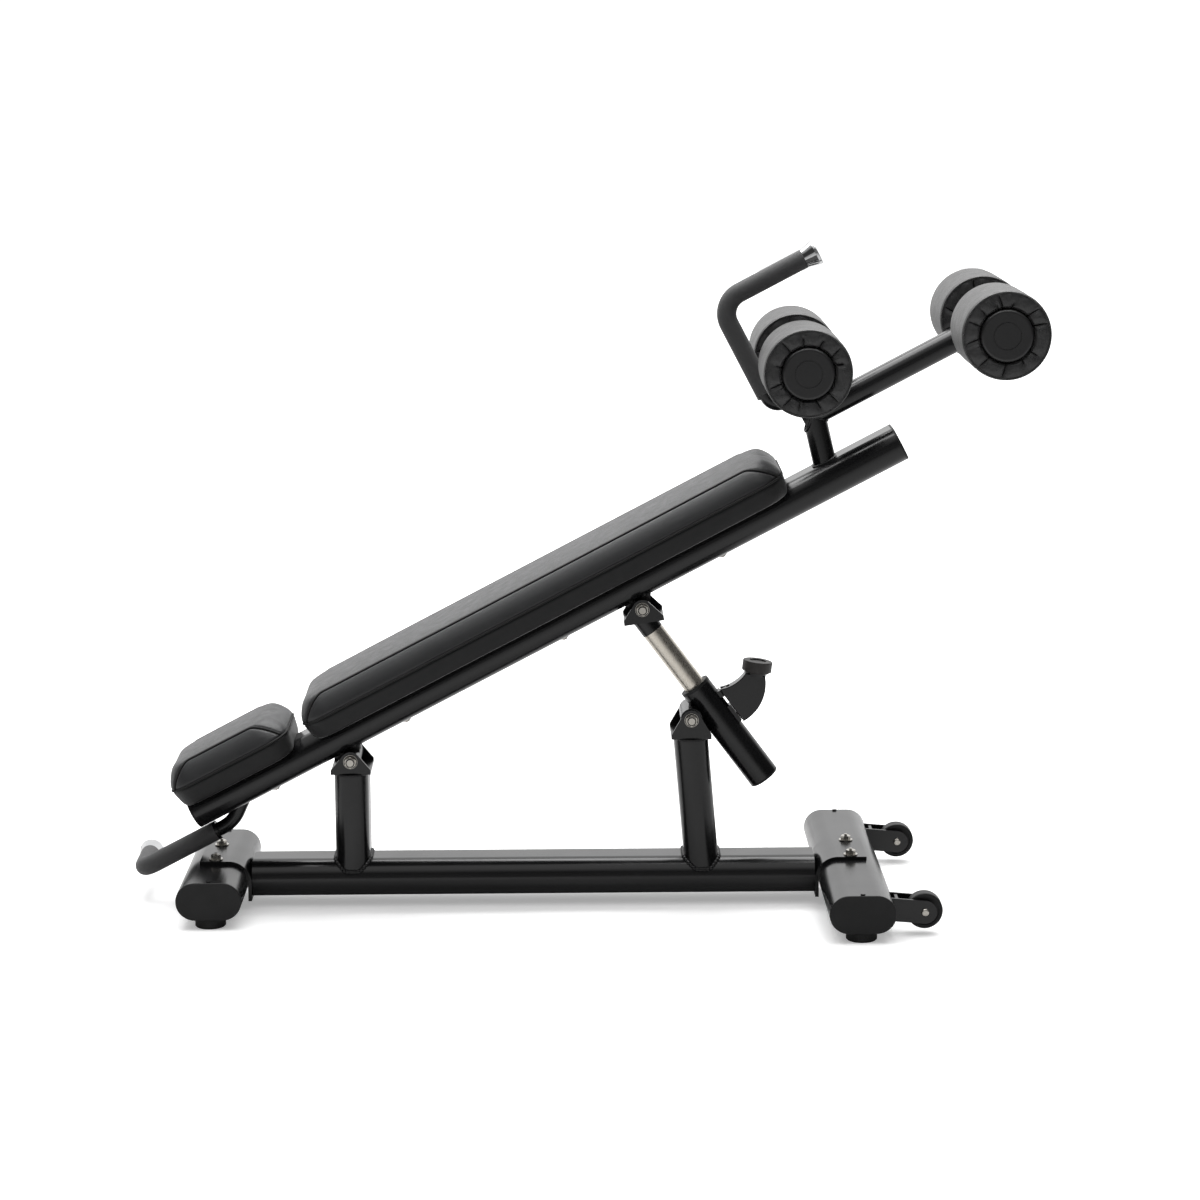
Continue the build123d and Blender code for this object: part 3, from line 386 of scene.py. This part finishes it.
def post_welds():
    """Fillet beads at the foot and the head of both posts."""
    posts = {
        "pivot": (PIVOT.x, 0.0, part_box("pivot_post")[1].z),
        "strut": (STRUT_PIN.x - 0.6 * MM, STRUT_POST_LEAN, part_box("strut_post")[1].z),
    }
    for name, (top_x, lean, top_z) in posts.items():
        foot, head = [], []
        for x, y in oval_loop(TUBE_FLAT, TUBE_R + 0.6 * MM):
            z = max(oval_top(y, BASE_AXIS_Z, BASE_FLAT, BASE_R), POST_SHOE) + 0.6 * MM
            slide = (top_z - z) * math.tan(lean)
            foot.append(Vector((top_x + slide + x / math.cos(lean), y, z)))
            head.append(Vector((top_x + x / math.cos(lean), y, top_z - 1.0 * MM)))
        paint = ("frame_paint", "base", "frame_paint")
        bead(name + "_post_foot_weld", foot, 4.3 * MM, *paint, ripple=0.42, pitch=0.0065)
        bead(name + "_post_head_weld", head, 2.4 * MM, *paint, ripple=0.40, pitch=0.006)


def nut_rings():
    """The dark insert ring of each lock nut, and a thin dark ring painted as the contact shadow where the nut
    meets its washer.
    """
    upper = Vector(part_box("upper_clevis_bolt")[0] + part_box("upper_clevis_bolt")[1]) / 2
    pins = (("pivot", PIVOT, "base"), ("strut", STRUT_PIN, "base"), ("upper", upper, "strut_ram"))
    for name, centre, body in pins:
        # The second ring is painted shadow along the line where nut and washer touch.
        for label, radius, y, thick in (("insert", 6.9, -61.0, 0.95), ("seat", 10.9, -52.3, 0.75)):
            ring = []
            for i in range(72):
                turn = 2 * math.pi * i / 72
                x, z = radius * MM * math.cos(turn), radius * MM * math.sin(turn)
                ring.append(Vector((centre.x + x, y * MM, centre.z + z)))
            bead(f"{name}_nut_{label}", ring, thick * MM, "rubber_black", body, "rubber_black", sides=8)


def bench_welds():
    """Beads round the upright's two ends and the riser's foot."""
    lean = BEAM_SLOPE - UPRIGHT_LEAN
    spots = {
        "upright_foot": (0.9722, 1 / math.cos(lean), None),
        "upright_head": (0.9884, 1 / math.cos(lean), 0.1375),
        "knee_riser_foot": (1.0139, 1.0, 0.1775),
    }
    for name, (middle, stretch, height) in spots.items():
        loop = []
        for x, y in oval_loop(LEG_FLAT, LEG_R + 0.4 * MM):
            if height is None:
                h = oval_top(y, BEAM_AXIS_H) + 0.6 * MM
            else:
                droop = LEG_R - math.sqrt(max(0.0, LEG_R ** 2 - max(0.0, abs(y) - 7 * MM) ** 2))
                h = height - droop if height > 0.16 else height + droop
            loop.append(beam_point(middle + x * stretch, y, h))
        bead(name + "_weld", loop, 2.3 * MM, "frame_paint", "bench", "frame_paint", ripple=0.3)


# ------------------------------------------------------------------------- pads
def pad_loop(plan, inset):
    """Outline of a pad, inset all round: straight ends, bowed sides, round corners."""
    low, high = plan["low"] + inset, plan["high"] - inset
    half_low, half_mid, half_high = (h - inset for h in plan["half"])
    corner = max(0.012, plan["corner"] - 0.45 * inset)
    corner = min(corner, half_low - 0.002)

    def half_at(s):
        t = (s - low) / (high - low)
        bow = half_mid - (half_low + half_high) / 2
        return half_low + (half_high - half_low) * t + bow * 4 * t * (1 - t)

    low_x, high_x = low + corner, high - corner
    low_y, high_y = half_at(low_x) - corner, half_at(high_x) - corner
    turns = [math.pi / 2 * i / CORNER_STEPS for i in range(CORNER_STEPS + 1)]
    side = [(low_x - corner * math.cos(a), low_y + corner * math.sin(a)) for a in turns]
    for i in range(1, SIDE_STEPS):
        s = low_x + (high_x - low_x) * i / SIDE_STEPS
        side.append((s, half_at(s)))
    side += [(high_x + corner * math.cos(a), high_y + corner * math.sin(a)) for a in reversed(turns)]
    return side + [(s, -y) for s, y in reversed(side)]


CORNER_STEPS, SIDE_STEPS = 10, 24
PAD_PROFILE = (
    # inset from the widest line, height, from under the board to the crown
    (0.060, BOARD_TOP + 1.0 * MM),
    (0.0215, BOARD_TOP + 1.0 * MM),
    (0.0205, 0.0705),
    (0.0165, 0.0668),
    (0.0120, PAD_FOOT),
    (0.0085, 0.0690),
    (0.0050, 0.0790),
    (0.0025, 0.0920),
    (0.0010, 0.1000),
    (0.0000, PAD_SEAM),
    (0.0012, 0.1070),
    (0.0050, 0.1180),
    (0.0115, 0.1290),
    (0.0185, 0.1375),
    (0.0250, PAD_TOP - 0.4 * MM),
    (0.0360, PAD_TOP + 0.2 * MM),
    (0.0600, PAD_TOP + 0.6 * MM),
    (0.0850, PAD_TOP + 0.8 * MM),
)
SEAM_INSET = 0.0245
SEAM_TOP = PAD_TOP - 0.4 * MM
SEAM_HOLD = 5.0 * MM
SEAM_WIDTH, SEAM_DEPTH = 6.0 * MM, 2.4 * MM   # of the valley that a seam draws in
SEAM_BEAD, SEAM_SUNK = 2.0 * MM, 0.35         # radius of the piping; share of the depth it lies at
CORNER_MEET = 0.38                    # share of a corner where the upper seam meets the lower


def pad_shell(name, plan):
    """Closed plain shell of a pad, in beam coordinates."""
    loops = [pad_loop(plan, inset) for inset, _ in PAD_PROFILE]
    count = len(loops[0])
    verts = []
    for loop, (_, height) in zip(loops, PAD_PROFILE):
        verts += [(s, y, height) for s, y in loop]
    mesh = bpy.data.meshes.new(name)
    mesh.from_pydata(verts, [], rings_to_faces(len(loops), count, closed_ends=True))
    mesh.validate()
    point_out(mesh)
    piece = bpy.data.objects.new(name, mesh)
    bpy.context.scene.collection.objects.link(piece)
    return piece


def apply_modifiers(piece):
    graph = bpy.context.evaluated_depsgraph_get()
    done = bpy.data.meshes.new_from_object(piece.evaluated_get(graph), depsgraph=graph)
    piece.modifiers.clear()
    piece.data = done


def seam_share(seams, point):
    """1 on the seams and under the pad, 0 out on the open panels."""
    if point.z < 0.088:
        return 1.0
    _, _, gap = seams.find(point)
    return max(0.0, 1 - gap / SEAM_HOLD)


def point_tree(points):
    tree = KDTree(len(points))
    for i, point in enumerate(points):
        tree.insert(point, i)
    tree.balance()
    return tree


def stuff_pad(piece, seams, voxel, limit):
    """Fills the cover with a cloth simulation held at its seams."""
    remesh = piece.modifiers.new("remesh", "REMESH")
    remesh.mode = "VOXEL"
    remesh.voxel_size = voxel
    remesh.use_smooth_shade = True
    apply_modifiers(piece)
    rest = [v.co.copy() for v in piece.data.vertices]
    held = piece.vertex_groups.new(name="held")
    for i, point in enumerate(rest):
        held.add([i], seam_share(seams, point), "REPLACE")
    cloth = piece.modifiers.new("cloth", "CLOTH")
    cloth.settings.quality = 4
    cloth.settings.mass = 0.35
    cloth.settings.tension_stiffness = 22
    cloth.settings.compression_stiffness = 12
    cloth.settings.bending_stiffness = 1.5
    cloth.settings.use_pressure = True
    cloth.settings.uniform_pressure_force = 4
    cloth.settings.vertex_group_mass = "held"
    cloth.settings.effector_weights.gravity = 0
    cloth.collision_settings.use_collision = False
    for step in range(1, 21):
        bpy.context.scene.frame_set(step)
    apply_modifiers(piece)
    bpy.context.scene.frame_set(1)
    for vertex, start in zip(piece.data.vertices, rest):
        move = vertex.co - start
        free = 1 - seam_share(seams, start)
        if move.length > limit * free:
            vertex.co = start + move.normalized() * limit * free
    smooth = piece.modifiers.new("smooth", "SMOOTH")
    smooth.iterations = 3
    smooth.factor = 0.5
    finer = piece.modifiers.new("finer", "SUBSURF")
    finer.levels = finer.render_levels = 1
    apply_modifiers(piece)


def even_points(line, step=0.0035):
    """Points a step apart along a broken line."""
    path = []
    for a, b in zip(line, line[1:]):
        count = max(1, round((b - a).length / step))
        path += [a.lerp(b, i / count) for i in range(count)]
    return path


def lower_seam(plan):
    """Seam all round the widest line of a pad, in beam coordinates."""
    loop = [Vector((s, y, PAD_SEAM)) for s, y in pad_loop(plan, 0.0)]
    return even_points(loop + loop[:1])


def skin_inset(height):
    """How far the skin between the two seams lies inside the widest line."""
    rising = [(h, inset) for inset, h in PAD_PROFILE if inset < 0.03 and h >= PAD_SEAM]
    for (low_h, low_i), (high_h, high_i) in zip(rising, rising[1:]):
        if height <= high_h:
            return low_i + (high_i - low_i) * (height - low_h) / (high_h - low_h)
    return SEAM_INSET


def upper_seam(plan, side):
    """Seam along one top edge that runs down round both corners to the lower seam."""
    last = 2 * CORNER_STEPS + SIDE_STEPS
    start = CORNER_MEET * CORNER_STEPS
    line, mark = [], start
    while mark <= last - start + 1e-6:
        share = min(1.0, (min(mark, last - mark) - start) / (CORNER_STEPS - start))
        share = math.sin(0.5 * math.pi * max(0.0, share))
        height = PAD_SEAM + (SEAM_TOP - PAD_SEAM) * share
        loop = pad_loop(plan, skin_inset(height))
        i = min(int(mark), last - 1)
        (s0, y0), (s1, y1) = loop[i], loop[i + 1]
        t = mark - i
        line.append(Vector((s0 + (s1 - s0) * t, side * (y0 + (y1 - y0) * t), height)))
        mark += 0.25
    return even_points(line)


def press_seam(piece, tree, path, width, depth):
    """Draws the cover in along a seam, and returns the seam's place on the skin."""
    found = [tree.find_nearest(point)[:2] for point in path]
    near = point_tree([place for place, _ in found])
    for vertex in piece.data.vertices:
        _, index, gap = near.find(vertex.co)
        if gap < width:
            share = 0.5 * (1 + math.cos(math.pi * gap / width))
            vertex.co -= found[index][1] * depth * share
    return [place - normal * depth * SEAM_SUNK for place, normal in found]


def build_pad(name, plan, voxel, limit):
    """A stuffed cover: a top panel over both ends, side panels, a band below, piped seams."""
    seams = {
        "lower": lower_seam(plan),
        "near": upper_seam(plan, -1),
        "far": upper_seam(plan, 1),
    }
    piece = pad_shell(name + "_cover", plan)
    held = point_tree([point for path in seams.values() for point in path])
    stuff_pad(piece, held, voxel, limit)
    tree = BVHTree.FromPolygons(
        [v.co.copy() for v in piece.data.vertices], [tuple(f.vertices) for f in piece.data.polygons]
    )
    to_bench = Matrix.Translation(PIVOT) @ Matrix((ALONG, (0, 1, 0), UP)).transposed().to_4x4()
    for label, path in seams.items():
        line = press_seam(piece, tree, path, SEAM_WIDTH, SEAM_DEPTH)
        even = [(a + 2 * b + c) / 4 for a, b, c in zip(line, line[1:], line[2:])]
        on_bench = [to_bench @ p for p in [line[0]] + even + [line[-1]]]
        ring = label == "lower"
        # The piping bead is near-black: painted shade along the seam's valley.
        bead(
            f"{name}_{label}_seam", on_bench, SEAM_BEAD, "seam", "bench", "leather_black",
            sides=8, closed=ring,
        )
    piece.data.materials.clear()
    piece.data.materials.append(MATERIALS["leather_black"])
    piece.data.materials.append(MATERIALS["leather_band_painted_shade"])
    for face in piece.data.polygons:
        face.use_smooth = True
        # Faces below the lower seam take the darker copy of the vinyl: painted shade on the band that faces down.
        face.material_index = 1 if face.center.z < PAD_SEAM else 0
    piece.data.transform(to_bench)
    point_out(piece.data)
    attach(piece, "bench")
    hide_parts(name)
    return piece


# ---------------------------------------------------------------------- rollers
DARK_FOLD = 0.5                       # depth of a gather beyond which its faces get a near-black copy of the leather: painted shade in the crease


def pleats(rng):
    """Gathers round an end face: angle, width, depth, drift, reach towards the rim."""
    folds, turn = [], rng.uniform(0, 0.5)
    while turn < 2 * math.pi - 0.25:
        reach = rng.choice((0.55, 0.75, 1.0, 1.0))
        width, depth = rng.uniform(0.022, 0.040), rng.uniform(0.7, 1.0)
        folds.append((turn, width, depth, rng.uniform(-0.12, 0.12), reach))
        if rng.random() < 0.30:
            beside = turn + rng.uniform(0.09, 0.15)
            width, depth = rng.uniform(0.018, 0.028), rng.uniform(0.4, 0.7)
            folds.append((beside, width, depth, rng.uniform(-0.08, 0.05), 0.5))
        turn += rng.uniform(0.40, 0.66)
    return folds


def fold_depth(folds, turn, share):
    """Depth of the gathers, 0 to 1, at an angle and a share of the way to the hub."""
    total = 0.0
    for at, width, depth, drift, reach in folds:
        off = abs((turn - at - drift * share + math.pi) % (2 * math.pi) - math.pi)
        fade = min(1.0, max(0.0, (share - 1 + reach) / 0.25 + (0.25 if reach == 1.0 else 0.0)))
        total = max(total, depth * fade * math.exp(-off / width))
    return total


def fold_puff(folds, turn, share):
    """Swelling between the gathers: 0 in a fold, 1 well away from all of them."""
    gap = min(
        abs((turn - at - drift * share + math.pi) % (2 * math.pi) - math.pi)
        for at, _, _, drift, _ in folds
    )
    return 1 - math.exp(-((gap / 0.13) ** 2))


def build_roller_pad(label, body, node):
    """Leather roll: plain barrel, piped rims and gathered end faces."""
    low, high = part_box(node)
    axis = Vector(((low.x + high.x) / 2, 0, (low.z + high.z) / 2))
    rng = random.Random(label)
    around = 540
    ends = {-1: (low.y, pleats(rng)), 1: (high.y, pleats(rng))}
    stations = []
    face_steps, barrel_steps = 20, 20

    def face_ring(side, share):
        """Ring on an end face. share 0 at the rim, 1 at the hub's recess."""
        edge, folds = ends[side]
        ring = []
        radius = FACE_R - (FACE_R - HUB_HOLE_R) * share
        pillow = 3.6 * MM * math.sin(math.pi * min(1.0, share)) ** 0.7
        tuck = 9.5 * MM * max(0.0, (share - 0.84) / 0.16) ** 1.7
        for i in range(around):
            turn = 2 * math.pi * i / around
            fold = fold_depth(folds, turn, share) * min(1.0, 0.35 + 1.2 * share)
            swell = 0.25 + 0.85 * fold_puff(folds, turn, share)
            inward = 2.4 * MM - pillow * swell + tuck + 4.5 * MM * fold
            y = edge - side * max(-1.2 * MM, inward)
            ring.append(Vector((axis.x + radius * math.cos(turn), y, axis.z + radius * math.sin(turn))))
        return ring

    def barrel_ring(share):
        """Ring on the barrel, share 0 at the low end and 1 at the high end."""
        width = high.y - low.y
        y = low.y + 1.6 * MM + (width - 3.2 * MM) * share
        gap = min(share, 1 - share) * width
        round_off = 3.4 * MM * max(0.0, 1 - gap / (6.5 * MM)) ** 2
        ring = []
        for i in range(around):
            turn = 2 * math.pi * i / around
            side = -1 if share < 0.5 else 1
            pull = fold_depth(ends[side][1], turn, 0.0) * math.exp(-gap / (5 * MM))
            sway = 0.18 * MM * math.sin(3 * turn + 9 * share) * math.sin(math.pi * share)
            radius = ROLLER_R - 0.5 * MM - round_off - 0.7 * MM * pull + sway
            ring.append(Vector((axis.x + radius * math.cos(turn), y, axis.z + radius * math.sin(turn))))
        return ring

    def sleeve_ring(side):
        """Edge of the hole for the hub's sleeve, at the bottom of the recess."""
        y = ends[side][0] - side * RECESS
        turns = [2 * math.pi * i / around for i in range(around)]
        return [Vector((axis.x + SLEEVE_R * math.cos(a), y, axis.z + SLEEVE_R * math.sin(a))) for a in turns]

    stations.append(sleeve_ring(-1))
    for k in range(face_steps, -1, -1):
        stations.append(face_ring(-1, k / face_steps))
    for k in range(barrel_steps + 1):
        t = k / barrel_steps
        stations.append(barrel_ring(0.5 - 0.5 * math.cos(math.pi * t)))
    for k in range(face_steps + 1):
        stations.append(face_ring(1, k / face_steps))
    stations.append(sleeve_ring(1))
    verts = [p for ring in stations for p in ring]
    faces = rings_to_faces(len(stations), around)
    last = (len(stations) - 1) * around
    for i in range(around):
        j = (i + 1) % around
        faces.append((last + i, last + j, j, i))
    piece = add_piece(label + "_cover", verts, faces, "roller_side", body)
    point_out(piece.data)
    piece.data.materials.append(MATERIALS["roller_face"])
    piece.data.materials.append(MATERIALS["roller_fold"])
    start, stop = (face_steps + 1) * around, (face_steps + barrel_steps + 3) * around
    for index, face in enumerate(piece.data.polygons):
        if start <= index < stop:
            continue
        out = face.center - axis
        side = -1 if index < start else 1
        turn = math.atan2(out.z, out.x) % (2 * math.pi)
        share = (FACE_R - math.hypot(out.x, out.z)) / (FACE_R - HUB_HOLE_R)
        fold = fold_depth(ends[side][1], turn, min(1.0, max(0.0, share)))
        # Faces deep in a gather take the near-black fold material: painted shade in the creases.
        face.material_index = 2 if fold > DARK_FOLD and share > 0.08 else 1
    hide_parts(node)

    for side in (-1, 1):
        edge = ends[side][0]
        loop = []
        for i in range(220):
            turn = 2 * math.pi * i / 220
            radius = ROLLER_R - 3.0 * MM - 0.5 * MM * fold_depth(ends[side][1], turn, 0.0)
            x, z = axis.x + radius * math.cos(turn), axis.z + radius * math.sin(turn)
            loop.append(Vector((x, edge - side * 1.5 * MM, z)))
        tag = "near" if side < 0 else "far"
        bead(f"{label}_piping_{tag}", loop, 1.3 * MM, "roller_face", body, "leather_black", sides=8)


def build_rollers():
    for place in ("knee", "ankle"):
        for side in ("near", "far"):
            label = f"{place}_roller_{side}"
            build_roller_pad(label, label, f"{place}_roller_pad_{side}")


# ------------------------------------------------------------- floor, light, camera
def build_floor():
    mesh = bpy.data.meshes.new("floor")
    size = 14.0
    corners = [(-size, -size, 0), (size, -size, 0), (size, size, 0), (-size, size, 0)]
    mesh.from_pydata(corners, [], [(0, 1, 2, 3)])
    floor = bpy.data.objects.new("floor", mesh)
    bpy.context.scene.collection.objects.link(floor)
    m = Nodes("floor")
    m.set(Roughness=0.9, Specular_IOR_Level=0.0, Emission_Color=(1, 1, 1, 1))
    seen = m.tree.nodes.new("ShaderNodeLightPath").outputs["Is Camera Ray"]
    m.tint(seen, (0.58, 0.58, 0.58), (0.86, 0.86, 0.86))
    reach = m.tree.nodes.new("ShaderNodeVectorMath")
    reach.operation = "LENGTH"
    m.tree.links.new(m.place, reach.inputs[0])
    glow = m.remap(reach.outputs["Value"], 1.3, 3.5, 0.32, 1.0)
    m.tree.links.new(m.maths("MULTIPLY", seen, glow), m.shader.inputs["Emission Strength"])
    mesh.materials.append(m.material)


def soft_box(name, place, target, width, height, power):
    lamp = bpy.data.lights.new(name, "AREA")
    lamp.shape = "RECTANGLE"
    lamp.size, lamp.size_y = width, height
    lamp.energy = power
    light = bpy.data.objects.new(name, lamp)
    light.location = place
    light.rotation_mode = "QUATERNION"
    light.rotation_quaternion = (Vector(target) - Vector(place)).to_track_quat("-Z", "Y")
    bpy.context.scene.collection.objects.link(light)
    return light


def build_world():
    """White studio: bright above and behind, dim at the sides, a soft glow in front."""
    world = bpy.data.worlds.new("studio")
    bpy.context.scene.world = world
    world.use_nodes = True
    tree = world.node_tree
    back = tree.nodes["Background"]
    place = tree.nodes.new("ShaderNodeTexCoord")
    split = tree.nodes.new("ShaderNodeSeparateXYZ")
    tree.links.new(place.outputs["Generated"], split.inputs["Vector"])

    def ramp(socket, low, high, start, end):
        node = tree.nodes.new("ShaderNodeMapRange")
        node.interpolation_type = "SMOOTHSTEP"
        for key, value in zip(("From Min", "From Max", "To Min", "To Max"), (low, high, start, end)):
            node.inputs[key].default_value = value
        tree.links.new(socket, node.inputs["Value"])
        return node.outputs["Result"]

    def most(a, b):
        node = tree.nodes.new("ShaderNodeMath")
        node.operation = "MAXIMUM"
        tree.links.new(a, node.inputs[0])
        tree.links.new(b, node.inputs[1])
        return node.outputs["Value"]

    above = ramp(split.outputs["Z"], 0.45, 0.85, 0.05, 1.1)
    behind = ramp(split.outputs["Y"], 0.25, 0.70, 0.05, 1.2)
    front = ramp(split.outputs["Y"], -0.80, -0.97, 0.05, 0.21)
    glow = most(most(above, behind), front)
    path = tree.nodes.new("ShaderNodeLightPath")
    seen = tree.nodes.new("ShaderNodeMix")
    tree.links.new(path.outputs["Is Camera Ray"], seen.inputs["Factor"])
    tree.links.new(glow, seen.inputs["A"])
    seen.inputs["B"].default_value = 1.1
    tree.links.new(seen.outputs["Result"], back.inputs["Strength"])
    back.inputs["Color"].default_value = (1, 1, 1, 1)


def build_lights():
    build_world()
    soft_box("overhead", (0.0, 0.8, 3.4), (0.0, 0.0, 0.0), 4.0, 3.0, 195)


CAMERA_PLACE = (-0.0137, -5.4916, 1.5436)
CAMERA_YAW, CAMERA_PITCH, CAMERA_ROLL = 0.0103, 0.1812, -0.0051
LENS, SENSOR = 96.0, 36.0


def build_camera():
    yaw, pitch, roll = CAMERA_YAW, CAMERA_PITCH, CAMERA_ROLL
    ahead = Vector((math.sin(yaw) * math.cos(pitch), math.cos(yaw) * math.cos(pitch), -math.sin(pitch)))
    level = Vector((math.cos(yaw), -math.sin(yaw), 0))
    lift = level.cross(ahead)
    right = level * math.cos(roll) + lift * math.sin(roll)
    top = -level * math.sin(roll) + lift * math.cos(roll)
    lens = bpy.data.cameras.new("camera")
    lens.lens, lens.sensor_width = LENS, SENSOR
    lens.clip_end = 100
    camera = bpy.data.objects.new("camera", lens)
    facing = Matrix((right, top, -ahead)).transposed().to_4x4()
    camera.matrix_world = Matrix.Translation(CAMERA_PLACE) @ facing
    bpy.context.scene.collection.objects.link(camera)
    bpy.context.scene.camera = camera
    bpy.context.scene.view_settings.view_transform = "Standard"


build_camera()
dress_cad_nodes()
post_welds()
nut_rings()
bench_welds()
build_pad("back_pad", BACK_PLAN, 5.0 * MM, 4.5 * MM)
build_pad("head_pad", HEAD_PLAN, 4.0 * MM, 3.5 * MM)
build_rollers()
build_floor()
build_lights()
